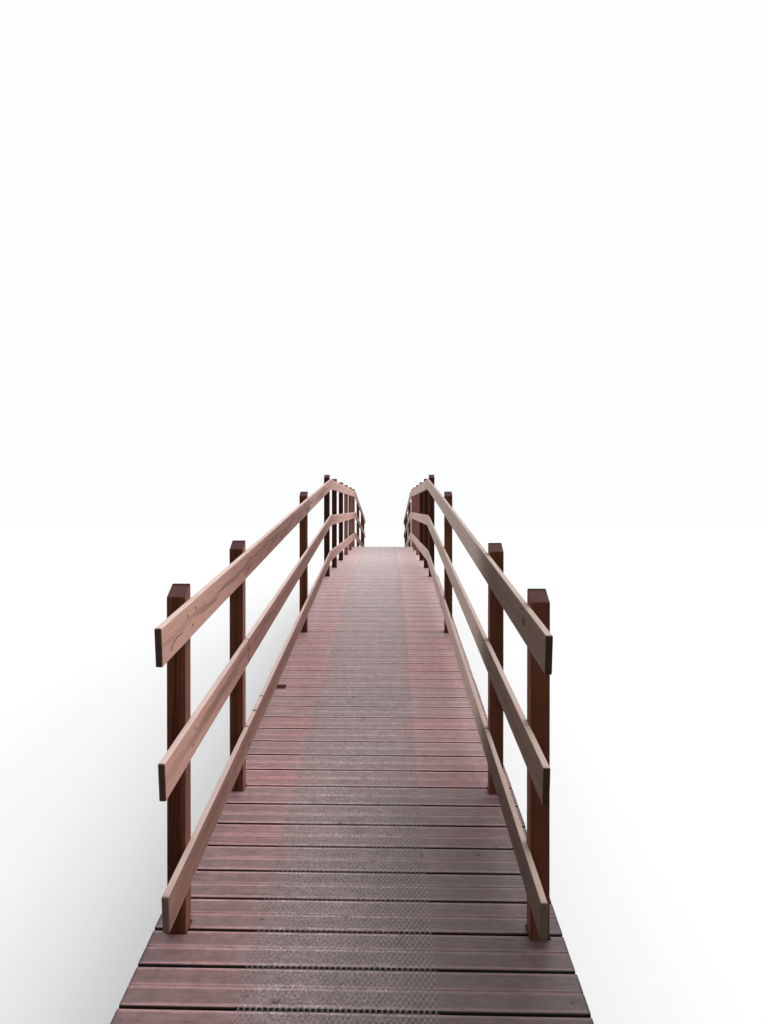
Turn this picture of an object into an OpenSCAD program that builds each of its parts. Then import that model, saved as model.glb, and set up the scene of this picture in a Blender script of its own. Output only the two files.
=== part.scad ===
// Wooden footbridge: a level middle run with a straight ramp at each end.
// X runs across the bridge, Y along it with the near end at -Y, and Z up.
// The origin is on the ground or water line under the middle of the bridge.

/* [Deck] */
// Width of one deck board, along the bridge
board_w = 143; // [95:1:195]
// Gap between two deck boards
board_gap = 7; // [3:1:10]
// Thickness of a deck board
board_t = 28; // [22:1:38]
// Width of the chamfers along a board's upper edges
board_chamfer = 4; // [2:0.5:6]
// Width of the groove along the middle of a board
groove_w = 10; // [5:0.5:15]
// Depth of the groove
groove_deep = 2; // [1:0.5:5]
// Length of a deck board, across the bridge
deck_w = 1300; // [1260:10:1400]
// Height of the level deck over the ground or water line
deck_height = 1170; // [1100:10:1600]
// Number of boards on the level run
level_boards = 38; // [38:2:60]
// Number of boards on each ramp
ramp_boards = 40; // [38:1:44]
// Slope of the ramps in degrees
ramp_slope = 6.4; // [3:0.1:7]

/* [Posts] */
// Side of the square parapet posts
post_size = 60; // [50:5:75]
// Distance from the centreline to the inner faces of the posts
post_face = 542.5; // [500:2.5:560]
// Height of a post's lower top edge over the top rail
post_rise = 12; // [0:1:60]
// Slope of the cut on top of a post, in degrees
post_top_slope = 32; // [0:1:45]
// Clearance round a post where the deck boards are notched
notch_clearance = 4; // [2:1:10]

/* [Rails] */
// Depth of a rail board
rail_depth = 110; // [90:5:150]
// Thickness of a rail board
rail_t = 20; // [18:1:30]
// Height of the top rail's upper edge over the deck
top_rail_height = 1060; // [950:10:1200]
// Height of the middle rail's upper edge over the deck
mid_rail_height = 665; // [550:5:800]
// Height of the low rail's upper edge over the deck
low_rail_height = 275; // [180:5:400]
// Distance that the top rails run on past the end posts
rail_overhang = 323; // [100:1:600]
// Lean of the line through the rails' outer ends, in degrees from plumb
rail_end_lean = 4; // [0:0.5:7]
// Height that the outer end of the left top rail has sunk
left_rail_sag = 10; // [0:1:30]
// Height that the outer end of the right top rail has sunk
right_rail_sag = 24; // [0:1:30]
// Gap where two lengths of rail butt on a post
rail_joint = 3; // [1:1:6]

/* [Stringers] */
// Thickness of a stringer
stringer_w = 60; // [45:5:100]
// Depth of a stringer
stringer_depth = 160; // [120:5:220]
// Least depth of a level seat cut into a ramp's stringers
seat_cut = 6; // [3:1:12]

/* [Bearers] */
// Thickness of one bearer plank
bearer_t = 45; // [35:5:60]
// Depth of a bearer plank
bearer_depth = 120; // [90:5:160]
// Distance that a bearer runs on past the posts
bearer_overhang = 45; // [20:5:50]

/* [Sills] */
// Width of the sill beam under each end of the bridge
sill_w = 100; // [75:5:150]
// Depth of the sill beam
sill_depth = 100; // [75:5:120]
// Side of the square stub piles under a sill
stub_size = 75; // [60:5:100]

/* [Hidden] */
board_pitch = board_w + board_gap;
level_len = level_boards * board_pitch;
level_half = level_len / 2;
ramp_len = ramp_boards * board_pitch;
ramp_run = ramp_len * cos(ramp_slope);
half_len = level_half + ramp_run;
// Places along the ramp, in boards down from the brow
P3_BOARDS = 14;
EMPTY_NOTCH_BOARDS = 22;
P2_BOARDS = 30.15;
P1_BOARDS = 35.95;
// Places on the level run, in boards from the middle of the bridge
INNER_BOARDS = 4;
OUTER_BOARDS = 12;
brow_y = -level_half;
p3_y = ramp_y(P3_BOARDS);
empty_notch_y = ramp_y(EMPTY_NOTCH_BOARDS);
p2_y = ramp_y(P2_BOARDS);
p1_y = ramp_y(P1_BOARDS);
outer_y = -OUTER_BOARDS * board_pitch;
inner_y = -INNER_BOARDS * board_pitch;
rail_end_y = p1_y - rail_overhang;
rail_face = post_face - rail_t;
stringer_under = board_t + stringer_depth;
bent_w = post_size + 2 * bearer_t;
stringer_end_y = -half_len + 10;
LEFT = -1;
RIGHT = 1;
TOP = 0;
MID = 1;
LOW = 2;
RAIL_HEIGHT = [top_rail_height, mid_rail_height, low_rail_height];
WOOD = [0.55, 0.38, 0.33];
DARK_WOOD = [0.36, 0.22, 0.18];
GREY_WOOD = [0.45, 0.38, 0.34];

// Place along the bridge of a point so many boards down the near ramp
function ramp_y(boards) = -level_half - boards * board_pitch * cos(ramp_slope);

// Height of the deck's upper face at a place along the bridge
function deck_z(y) = deck_height - max(0, abs(y) - level_half) * tan(ramp_slope);

// Height that a thickness laid square to the run takes up plumb
function plumb(thickness, y) = abs(y) > level_half ? thickness / cos(ramp_slope) : thickness;

// Height of the level seat cut into a ramp's stringers over a bent or a sill of this width
function seat_z(y, width) = deck_z(y + width / 2) - plumb(stringer_under, y) + seat_cut;

// How far the top rail has sunk at a place on the lower part of a ramp
function sag(side, y) =
    (side == LEFT ? left_rail_sag : right_rail_sag) * max(0, (p3_y - y) / (p3_y - rail_end_y));

// Height of a rail's upper edge at a place along the near half
function rail_z(side, level, y) = deck_z(y) + RAIL_HEIGHT[level] - (level == TOP ? sag(side, y) : 0);

// Outer end of a ramp's rail
function rail_end(level) = rail_end_y + (top_rail_height - RAIL_HEIGHT[level]) * tan(rail_end_lean);

// Rise of the top cut of a post, which faces the nearer end of the bridge
post_cut = post_size * tan(post_top_slope);

// A flat outline in the Y-Z plane, made thick along X from x0
module side_profile(points, x0, thickness) {
    translate([x0, 0, 0]) rotate([90, 0, 90]) linear_extrude(thickness) polygon(points);
}

// What is drawn for the near half, turned over to the far half
module far_half() {
    mirror([0, 1, 0]) children();
}

// The frame of the near ramp: Y along the slope from the brow, Z square to it from the deck
module on_ramp() {
    translate([0, -level_half, deck_height]) rotate([ramp_slope, 0, 0]) children();
}

// One deck board, with its upper face at Z 0 and its near edge at Y 0
module deck_board() {
    middle = board_w / 2;
    side_profile([
        [0, -board_t],
        [board_w, -board_t],
        [board_w, -board_chamfer],
        [board_w - board_chamfer, 0],
        [middle + groove_w / 2, 0],
        [middle, -groove_deep],
        [middle - groove_w / 2, 0],
        [board_chamfer, 0],
        [0, -board_chamfer]
    ], -deck_w / 2, deck_w);
}

// The space that a post takes in the deck, plumb through it
module post_slot(side, y) {
    slot = post_size + 2 * notch_clearance;
    slot_deep = 4 * board_t;
    centre_x = side * (post_face + post_size / 2);
    translate([centre_x - slot / 2, y - slot / 2, deck_z(y) - slot_deep / 2]) cube([slot, slot, slot_deep]);
}

// The boards of a ramp, notched round its posts, with one notch left empty where a post is gone
module ramp_deck() {
    color(WOOD) difference() {
        on_ramp() for (i = [1 : ramp_boards]) translate([0, -i * board_pitch, 0]) deck_board();
        for (y = [p1_y, p2_y, p3_y, brow_y], side = [LEFT, RIGHT]) post_slot(side, y);
        post_slot(LEFT, empty_notch_y);
    }
}

// The boards of the level run
module level_deck() {
    color(WOOD) difference() {
        for (i = [0 : level_boards - 1])
            translate([0, -level_half + i * board_pitch + board_gap / 2, deck_height]) deck_board();
        for (y = [brow_y, outer_y, inner_y, -inner_y, -outer_y, -brow_y], side = [LEFT, RIGHT])
            post_slot(side, y);
    }
}

// One length of rail on the inner faces of the posts, with its upper edge from [y0, z0] to [y1, z1]
module rail_length(side, y0, z0, y1, z1, square_cut = false) {
    slope = atan((z1 - z0) / (y1 - y0));
    deep = rail_depth / cos(slope);
    near_foot = square_cut ? [y0 + rail_depth * sin(slope), z0 - rail_depth * cos(slope)] : [y0, z0 - deep];
    x0 = side == LEFT ? -post_face : rail_face;
    side_profile([near_foot, [y1, z1 - deep], [y1, z1], [y0, z0]], x0, rail_t);
}

// A ramp rail in two lengths that butt on a post, cut square at the outer end and plumb at the butts
module ramp_rail(side, level, joint_y) {
    end_y = rail_end(level);
    low_y = joint_y - rail_joint / 2;
    high_y = joint_y + rail_joint / 2;
    top_y = brow_y - rail_joint / 2;
    color(WOOD) {
        rail_length(side, end_y, rail_z(side, level, end_y), low_y, rail_z(side, level, low_y), true);
        rail_length(side, high_y, rail_z(side, level, high_y), top_y, rail_z(side, level, top_y));
    }
}

// A rail of the level run
module level_rail(side, level) {
    y0 = brow_y + rail_joint / 2;
    z = deck_height + RAIL_HEIGHT[level];
    color(WOOD) rail_length(side, y0, z, -y0, z);
}

// One post from its foot to the sloping cut over the top rail
module post(side, y, foot_z) {
    low_z = rail_z(side, TOP, y) + post_rise;
    x0 = side == LEFT ? -post_face - post_size : post_face;
    side_profile([
        [y - post_size / 2, foot_z],
        [y + post_size / 2, foot_z],
        [y + post_size / 2, low_z + post_cut],
        [y - post_size / 2, low_z]
    ], x0, post_size);
}

// The left and right posts at one place; they stand in the water or on the ground
module post_pair(y) {
    color(DARK_WOOD) for (side = [LEFT, RIGHT]) post(side, y, 0);
}

// Posts that only carry rails end at the stringers' undersides
module short_post_pair(y) {
    color(DARK_WOOD) for (side = [LEFT, RIGHT]) post(side, y, deck_z(y) - stringer_under);
}

// Places of the three stringers across the bridge, at their left faces
STRINGER_X = [-post_face, -stringer_w / 2, post_face - stringer_w];

// The three stringers of a ramp, cut plumb at both ends and seated level on each bent and on the sill
module ramp_stringer_set() {
    over = plumb(board_t, stringer_end_y);
    under = plumb(stringer_under, stringer_end_y);
    color(GREY_WOOD) difference() {
        for (x0 = STRINGER_X) side_profile([
            [stringer_end_y, deck_z(stringer_end_y) - under],
            [brow_y, deck_height - under],
            [brow_y, deck_height - over],
            [stringer_end_y, deck_z(stringer_end_y) - over]
        ], x0, stringer_w);
        for (y = [p1_y, p2_y, p3_y]) bent_space(y, seat_z(y, bent_w), bent_w);
        bent_space(brow_y, deck_height - stringer_under, bent_w);
        bent_space(sill_y, seat_z(sill_y, sill_w), sill_w);
    }
}

// The space under a level seat, over the whole width of the bridge
module bent_space(y, top_z, width) {
    translate([-deck_w / 2, y - width / 2, top_z - stringer_depth]) cube([deck_w, width, stringer_depth]);
}

// The three stringers of the level run
module level_stringer_set() {
    color(GREY_WOOD) for (x0 = STRINGER_X)
        translate([x0, -level_half, deck_height - stringer_under]) cube([stringer_w, level_len, stringer_depth]);
}

// A pair of bearer planks that clamps the posts of a bent, with its upper edges at the seat
module bearer_pair(y, top_z) {
    long = 2 * (post_face + post_size + bearer_overhang);
    for (face_y = [y - bent_w / 2, y + post_size / 2])
        translate([-long / 2, face_y, top_z - bearer_depth]) cube([long, bearer_t, bearer_depth]);
}

// The bearers of the three bents under a ramp
module ramp_bearer_set() {
    color(GREY_WOOD) for (y = [p1_y, p2_y, p3_y]) bearer_pair(y, seat_z(y, bent_w));
}

// The bearers of the four bents under the level run
module level_bearer_set() {
    color(GREY_WOOD) for (y = [brow_y, inner_y, -inner_y, -brow_y]) bearer_pair(y, deck_height - stringer_under);
}

// The sill beam's middle, flush with the plumb ends of the stringers
sill_y = stringer_end_y + sill_w / 2;

// The sill beam under the lower ends of the ramp's stringers
module sill() {
    color(GREY_WOOD) translate([-post_face, sill_y - sill_w / 2, seat_z(sill_y, sill_w) - sill_depth])
        cube([2 * post_face, sill_w, sill_depth]);
}

// The two stub piles that carry a sill, from the ground line to its underside
module stub_pile_pair() {
    inset = 100;
    color(DARK_WOOD) for (side = [LEFT, RIGHT])
        translate([side * (post_face - inset) - stub_size / 2, sill_y - stub_size / 2, 0])
            cube([stub_size, stub_size, seat_z(sill_y, sill_w) - sill_depth]);
}

ramp_deck();  // near_ramp_boards
level_deck();  // level_boards_row
far_half() ramp_deck();  // far_ramp_boards
ramp_rail(LEFT, TOP, p3_y);  // near_left_top_rail
ramp_rail(LEFT, MID, p2_y);  // near_left_mid_rail
ramp_rail(LEFT, LOW, p2_y);  // near_left_low_rail
ramp_rail(RIGHT, TOP, p3_y);  // near_right_top_rail
ramp_rail(RIGHT, MID, p2_y);  // near_right_mid_rail
ramp_rail(RIGHT, LOW, p2_y);  // near_right_low_rail
level_rail(LEFT, TOP);  // level_left_top_rail
level_rail(LEFT, MID);  // level_left_mid_rail
level_rail(LEFT, LOW);  // level_left_low_rail
level_rail(RIGHT, TOP);  // level_right_top_rail
level_rail(RIGHT, MID);  // level_right_mid_rail
level_rail(RIGHT, LOW);  // level_right_low_rail
far_half() ramp_rail(LEFT, TOP, p3_y);  // far_left_top_rail
far_half() ramp_rail(LEFT, MID, p2_y);  // far_left_mid_rail
far_half() ramp_rail(LEFT, LOW, p2_y);  // far_left_low_rail
far_half() ramp_rail(RIGHT, TOP, p3_y);  // far_right_top_rail
far_half() ramp_rail(RIGHT, MID, p2_y);  // far_right_mid_rail
far_half() ramp_rail(RIGHT, LOW, p2_y);  // far_right_low_rail
post_pair(p1_y);  // near_end_posts
post_pair(p2_y);  // near_lower_posts
post_pair(p3_y);  // near_upper_posts
post_pair(brow_y);  // near_brow_posts
short_post_pair(outer_y);  // near_outer_posts
post_pair(inner_y);  // near_inner_posts
far_half() post_pair(inner_y);  // far_inner_posts
far_half() short_post_pair(outer_y);  // far_outer_posts
far_half() post_pair(brow_y);  // far_brow_posts
far_half() post_pair(p3_y);  // far_upper_posts
far_half() post_pair(p2_y);  // far_lower_posts
far_half() post_pair(p1_y);  // far_end_posts
ramp_stringer_set();  // near_ramp_stringers
level_stringer_set();  // level_stringers
far_half() ramp_stringer_set();  // far_ramp_stringers
ramp_bearer_set();  // near_ramp_bearers
level_bearer_set();  // level_bearers
far_half() ramp_bearer_set();  // far_ramp_bearers
sill();  // near_sill
far_half() sill();  // far_sill
stub_pile_pair();  // near_stub_piles
far_half() stub_pile_pair();  // far_stub_piles
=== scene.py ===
# %% [markdown]
# A timber footbridge with two ramps
# The real bridge is stained softwood: square posts, board rails on their inner faces, and a grooved deck
# with a strip of wire netting stapled along the walking line. The construction comes packed as a fixed
# frame. This lesson dresses it: every timber gets eased edges, grain and wear, and the netting and the
# fixings are added.
# %% Load the frame
import bmesh
import bpy
import math
import random
from mathutils import Matrix, Vector
from types import SimpleNamespace


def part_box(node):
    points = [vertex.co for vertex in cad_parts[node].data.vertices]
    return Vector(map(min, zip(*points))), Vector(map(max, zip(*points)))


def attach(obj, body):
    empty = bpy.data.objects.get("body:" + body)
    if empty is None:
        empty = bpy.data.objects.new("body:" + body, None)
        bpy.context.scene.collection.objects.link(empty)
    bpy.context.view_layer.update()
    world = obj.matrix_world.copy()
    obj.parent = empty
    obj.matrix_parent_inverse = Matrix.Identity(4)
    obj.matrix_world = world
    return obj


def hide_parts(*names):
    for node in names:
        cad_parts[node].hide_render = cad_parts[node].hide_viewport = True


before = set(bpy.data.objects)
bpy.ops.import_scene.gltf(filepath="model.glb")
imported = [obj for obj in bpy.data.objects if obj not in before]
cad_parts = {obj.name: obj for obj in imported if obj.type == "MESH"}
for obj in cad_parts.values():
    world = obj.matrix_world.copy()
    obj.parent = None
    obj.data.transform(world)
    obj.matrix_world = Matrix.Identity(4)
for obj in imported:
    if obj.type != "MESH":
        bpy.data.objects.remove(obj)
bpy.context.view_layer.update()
chance = random.Random(1917)

# %% [markdown]
# Places are read from the frame, so a change of the construction moves the finish with it. What its boxes
# don't tell is written down again: the pitch and the width of the boards, and later the place of the empty
# notches. The deck of the level run gives the height and the width, and the brow posts stand where the
# ramps begin. A ramp's box gives its slope: its run is known from the box, and the drop over that run is
# what remains of the height when one board's thickness is taken off.
# %% Sizes from the frame
BOARD_PITCH = 0.150
BOARD_WIDTH = 0.143
BOARD_GAP = BOARD_PITCH - BOARD_WIDTH
level_low, level_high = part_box("level_boards_row")
ramp_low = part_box("near_ramp_boards")[0]
brow_low, brow_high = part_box("near_brow_posts")
DECK_TOP = level_high.z
BOARD_THICK = level_high.z - level_low.z
DECK_HALF = level_high.x
BROW_Y = (brow_low.y + brow_high.y) / 2
POST_SIZE = brow_high.y - brow_low.y
POST_X = brow_high.x - POST_SIZE / 2
SLOPE = math.atan2(DECK_TOP - BOARD_THICK - ramp_low.z, BROW_Y - ramp_low.y)
RAMP_BOARDS = round((BROW_Y - ramp_low.y) / math.cos(SLOPE) / BOARD_PITCH)
LEVEL_BOARDS = round(-2 * BROW_Y / BOARD_PITCH)
print("deck top", round(DECK_TOP, 3), "slope", round(math.degrees(SLOPE), 2))
print("boards on a ramp", RAMP_BOARDS, "and on the level run", LEVEL_BOARDS)

# %% [markdown]
# The three runs of the deck are worked in frames of their own. In each frame Y runs along the deck and Z
# stands square to it, so a board or a length of netting is made flat and then tilted with its run.
# %% The three runs


def deck_height(y):
    """Height of the deck's upper face at a place along the bridge."""
    return DECK_TOP - max(0.0, abs(y) + BROW_Y) * math.tan(SLOPE)


RUN_FRAME = {
    "near": Matrix.Translation((0, BROW_Y, DECK_TOP)) @ Matrix.Rotation(SLOPE, 4, "X"),
    "level": Matrix.Translation((0, 0, DECK_TOP)),
    "far": Matrix.Translation((0, -BROW_Y, DECK_TOP)) @ Matrix.Rotation(-SLOPE, 4, "X"),
}
BOARD_STARTS = {
    "near": [-(i + 1) * BOARD_PITCH for i in range(RAMP_BOARDS)],
    "level": [BROW_Y + i * BOARD_PITCH + BOARD_GAP / 2 for i in range(LEVEL_BOARDS)],
    "far": [i * BOARD_PITCH + BOARD_GAP for i in range(RAMP_BOARDS)],
}
BOARD_NODE = {"near": "near_ramp_boards", "level": "level_boards_row", "far": "far_ramp_boards"}
print("deck height at the near end", round(deck_height(ramp_low.y), 3))

# %% [markdown]
# The camera stands a little before the near end, just right of the middle and about 1.4 m over the deck
# there, with a wide lens. The picture is 1024 pixels on its long side, which is the side that the sensor
# width belongs to. The view points a little to the left of the far end, and a small sideways shift of the
# lens sets where the rails meet.
# %% Camera
FOCAL_PIXELS = 690
LONG_SIDE = 1024
SHIFT_PIXELS = 14
SENSOR = 36
EYE_X = 0.0975
EYE_BEFORE_BROW = 7.55
EYE_OVER_LEVEL_DECK = 0.743
DOWN_DEGREES = 0.33
LEFT_DEGREES = 1.5
camera_data = bpy.data.cameras.new("bridge_view")
camera_data.sensor_width = SENSOR
camera_data.lens = SENSOR * FOCAL_PIXELS / LONG_SIDE
camera_data.shift_x = SHIFT_PIXELS / LONG_SIDE
camera = bpy.data.objects.new("bridge_view", camera_data)
camera.location = (EYE_X, BROW_Y - EYE_BEFORE_BROW, DECK_TOP + EYE_OVER_LEVEL_DECK)
camera.rotation_euler = (math.radians(90 - DOWN_DEGREES), 0, math.radians(LEFT_DEGREES))
bpy.context.scene.collection.objects.link(camera)
bpy.context.scene.camera = camera
print("lens", round(camera_data.lens, 2), "mm, eye", [round(v, 3) for v in camera.location])

# %% [markdown]
# Node materials get long when every link is written out. This helper makes a node, sets its values and
# links whatever socket is passed for an input, so that a finish reads from top to bottom like a recipe.
# %% A helper for finishes


class Finish:
    """The nodes of one material or world under construction, with short ways to add what a finish needs."""

    def __init__(self, owner):
        owner.use_nodes = True
        self.owner = owner
        self.tree = owner.node_tree
        self.tree.nodes.clear()

    def add(self, kind, inputs=None, out=0, **settings):
        made = self.tree.nodes.new(kind)
        for key, value in settings.items():
            setattr(made, key, value)
        for key, value in (inputs or {}).items():
            if isinstance(value, bpy.types.NodeSocket):
                self.tree.links.new(value, made.inputs[key])
            else:
                made.inputs[key].default_value = value
        return made.outputs[out]

    def math(self, operation, a, b=0.0, c=0.0):
        return self.add("ShaderNodeMath", {0: a, 1: b, 2: c}, operation=operation)

    def times(self, *values):
        product = values[0]
        for value in values[1:]:
            product = self.math("MULTIPLY", product, value)
        return product

    def vector(self, operation, a, b=(0, 0, 0), out=0):
        return self.add("ShaderNodeVectorMath", {0: a, 1: b}, out=out, operation=operation)

    def split(self, vector):
        made = self.tree.nodes.new("ShaderNodeSeparateXYZ")
        self.tree.links.new(vector, made.inputs[0])
        return made.outputs[0], made.outputs[1], made.outputs[2]

    def noise(self, vector, scale=1.0, detail=2.0, roughness=0.5, out="Fac"):
        values = {"Vector": vector, "Scale": scale, "Detail": detail, "Roughness": roughness}
        return self.add("ShaderNodeTexNoise", values, out=out)

    def step(self, value, low, high, to_low=0.0, to_high=1.0):
        """Smooth change from to_low to to_high as the value goes from low to high."""
        values = {0: value, 1: low, 2: high, 3: to_low, 4: to_high}
        return self.add("ShaderNodeMapRange", values, interpolation_type="SMOOTHSTEP")

    def mix(self, factor, a, b, blend="MIX"):
        made = self.tree.nodes.new("ShaderNodeMix")
        made.data_type = "RGBA"
        made.blend_type = blend
        for index, value in ((0, factor), (6, a), (7, b)):
            if isinstance(value, bpy.types.NodeSocket):
                self.tree.links.new(value, made.inputs[index])
            else:
                made.inputs[index].default_value = (*value, 1.0) if index else value
        return made.outputs[2]

    def brighten(self, colour, value):
        """The colour times a grey of this value."""
        grey = self.add("ShaderNodeCombineColor", {0: value, 1: value, 2: value})
        return self.mix(1.0, colour, grey, "MULTIPLY")

    def shade(self, base, roughness, height=None, depth=0.0, **constants):
        """The finished surface. A height is shown as relief this many metres deep, without new corners."""
        values = {"Base Color": base, "Roughness": roughness, **constants}
        if height is not None:
            bump = {"Height": height, "Distance": depth, "Strength": 1.0}
            values["Normal"] = self.add("ShaderNodeBump", bump)
        shader = self.add("ShaderNodeBsdfPrincipled", values)
        output = self.tree.nodes.new("ShaderNodeOutputMaterial")
        self.tree.links.new(shader, output.inputs["Surface"])
        return self.owner


# %% [markdown]
# Sawn softwood shows its rings as flames and stripes, because a flat cut runs nearly along the rings. Here
# the rings are circles round a pith that lies below the face and slopes a little along the timber. Each
# timber carries its own coordinates in the attribute "grain" (along, across, through) with a random shift,
# so no two show the same figure. "section" gives the place in the cross-section, which puts wear on the
# edges and dark end grain on the ends, and "tone" makes one board darker than the next.
# %% The wood's figure
RING_PITCH = 0.0052
PITH_BELOW = 0.055
PITH_SLOPE = 0.011
KNOT_CELLS = (2.6, 9.0, 9.0)
KNOT_SMALLEST = 0.004
KNOT_GROWTH = 0.006


def drawn_out_noise(f, grain, along, across, detail=3, roughness=0.6):
    """A noise that is drawn out along the timber. Along and across are its cells to a metre."""
    stretched = f.vector("MULTIPLY", grain, (along, across, across))
    return f.noise(stretched, detail=detail, roughness=roughness)


def wood_figure(f):
    """Adds the nodes that tell one place on a timber from another, and returns their sockets by name."""
    wood = SimpleNamespace()
    grain = f.add("ShaderNodeAttribute", attribute_name="grain", out="Vector")
    sway = f.noise(f.vector("MULTIPLY", grain, (1.3, 7.0, 7.0)), detail=2, out="Color")
    sway = f.vector("MULTIPLY", f.vector("SUBTRACT", sway, (0.5, 0.5, 0.5)), (0, 0.034, 0.034))
    along, across, through = f.split(f.vector("ADD", grain, sway))

    cell = f.tree.nodes.new("ShaderNodeTexVoronoi")
    cell.inputs["Scale"].default_value = 1.0
    f.tree.links.new(f.vector("MULTIPLY", grain, KNOT_CELLS), cell.inputs["Vector"])
    off = f.vector("SUBTRACT", f.vector("DIVIDE", cell.outputs["Position"], KNOT_CELLS), grain)
    knot_distance = f.vector("LENGTH", f.vector("MULTIPLY", off, (0.62, 1.0, 0.3)), out="Value")
    lottery, size, _ = f.split(cell.outputs["Color"])
    drawn = f.step(lottery, 0.52, 0.62)
    radius = f.times(drawn, f.math("MULTIPLY_ADD", size, KNOT_GROWTH, KNOT_SMALLEST))
    wood.knot = f.math("LESS_THAN", knot_distance, radius)
    halo = f.step(f.math("SUBTRACT", knot_distance, radius), 0.0, 0.012, 1.0, 0.0)
    wood.halo = f.times(halo, drawn)

    pith = f.math("ADD", f.math("MULTIPLY_ADD", along, PITH_SLOPE, through), PITH_BELOW)
    rings = f.math("SQRT", f.math("ADD", f.times(across, across), f.times(pith, pith)))
    rings = f.math("MULTIPLY_ADD", wood.halo, 0.009, rings)
    rings = f.math("FRACT", f.math("DIVIDE", rings, RING_PITCH))
    wood.rings = f.times(f.step(rings, 0.35, 0.88), f.step(rings, 0.9, 1.0, 1.0, 0.0))

    wood.fibre = drawn_out_noise(f, grain, 9.0, 420.0)
    wood.streak = drawn_out_noise(f, grain, 0.8, 26.0, roughness=0.55)
    wood.patch = drawn_out_noise(f, grain, 1.6, 5.0, detail=4)
    wood.tatter = drawn_out_noise(f, grain, 3.5, 60.0)
    wood.tone = f.add("ShaderNodeAttribute", attribute_name="tone", out="Fac")
    section = f.add("ShaderNodeAttribute", attribute_name="section", out="Vector")
    wood.to_end, wood.over_width, wood.over_thickness = f.split(section)
    wood.place = f.add("ShaderNodeTexCoord", out="Object")
    return wood


# %% [markdown]
# One function makes all the timber finishes, because they differ in colour and wear and not in kind. Its
# four colours run from pale wood to warm wood, dark streaks and the bleached skin. Bleaching belongs where
# rain and sun land, so it is tied to faces that look up and to the edges, and it breaks up along the
# fibres. The argument extra takes a function that adds what only one kind of timber has.
# %% Timber finishes
SOIL = (0.035, 0.026, 0.018)
WOOD_RELIEF = 0.0012


def timber(name, pale, warm, dark, bleached, *, rings, streaks, bleach, arris, grime, rough=0.7, gloss=0.4,
           extra=None):
    """The finish of one kind of timber. Rings to grime say how strongly each shows, from 0 to 1."""
    f = Finish(bpy.data.materials.new(name))
    wood = wood_figure(f)
    colour = f.mix(f.step(f.math("MULTIPLY_ADD", wood.tone, 0.25, wood.patch), 0.42, 0.82), pale, warm)
    colour = f.mix(f.times(wood.rings, rings), colour, dark)
    colour = f.mix(f.times(f.step(wood.streak, 0.47, 0.70), streaks), colour, dark)
    colour = f.mix(f.times(wood.halo, 0.35), colour, dark)
    fibres = f.math("MULTIPLY_ADD", wood.fibre, 0.7, 0.65)
    colour = f.brighten(colour, f.times(fibres, f.math("MULTIPLY_ADD", wood.tone, 0.34, 0.83)))

    near_side = f.step(f.math("ABSOLUTE", wood.over_width), 0.84, 0.97)
    near_face = f.step(f.math("ABSOLUTE", wood.over_thickness), 0.4, 0.9)
    edge = f.times(near_side, near_face)
    up = f.split(f.add("ShaderNodeNewGeometry", out="Normal"))[2]
    worn = f.math("MAXIMUM", f.times(edge, arris), f.times(f.step(up, 0.45, 0.95), bleach))
    worn = f.times(worn, f.step(f.math("MULTIPLY_ADD", wood.fibre, 0.9, wood.patch), 0.45, 1.0))
    colour = f.mix(worn, colour, bleached)

    soil = f.noise(wood.place, scale=9.0, detail=6, roughness=0.68)
    colour = f.mix(f.times(f.step(soil, 0.5, 0.74), grime), colour, SOIL)
    end_grain = f.step(wood.to_end, 0.0005, 0.012, 0.8, 0.0)
    colour = f.mix(end_grain, colour, (dark[0] * 0.5, dark[1] * 0.5, dark[2] * 0.5))
    colour = f.mix(f.times(wood.knot, 0.85), colour, (dark[0] * 0.45, dark[1] * 0.4, dark[2] * 0.4))

    height = f.math("MULTIPLY_ADD", wood.rings, -0.35, f.times(wood.fibre, 0.6))
    height = f.math("MULTIPLY_ADD", soil, 0.5, height)
    if extra:
        colour, height = extra(f, colour, height, wood)
    return f.shade(colour, rough, height, WOOD_RELIEF, **{"Specular IOR Level": gloss})


# %% [markdown]
# The deck boards are a moulding with eased edges and a groove. Both are painted paler, partly worn stain
# and partly painted highlight, while the gaps are painted nearly black, partly dirt and partly painted shade.
# The strip under the netting holds grit, so it is greyer and speckled: it follows X on the piece, and a noise
# frays its border. The middle of the bridge is painted paler, partly bleaching and partly painted sheen,
# with two duller stretches just inside the brows. Both ends are painted darker as painted shade, and near
# the ends the right side carries a painted shadow with some damp.
# %% The deck's own wear and painted light
NETTING_LEFT = -0.320
NETTING_RIGHT = 0.235
RUDDY_BOARD = (0.33, 0.130, 0.125)
BLEACHED_AND_SHEEN_BOARD = (0.65, 0.462, 0.452)
DIRT = (0.050, 0.043, 0.033)
GAP_DIRT_AND_SHADE = (0.018, 0.013, 0.011)


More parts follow.
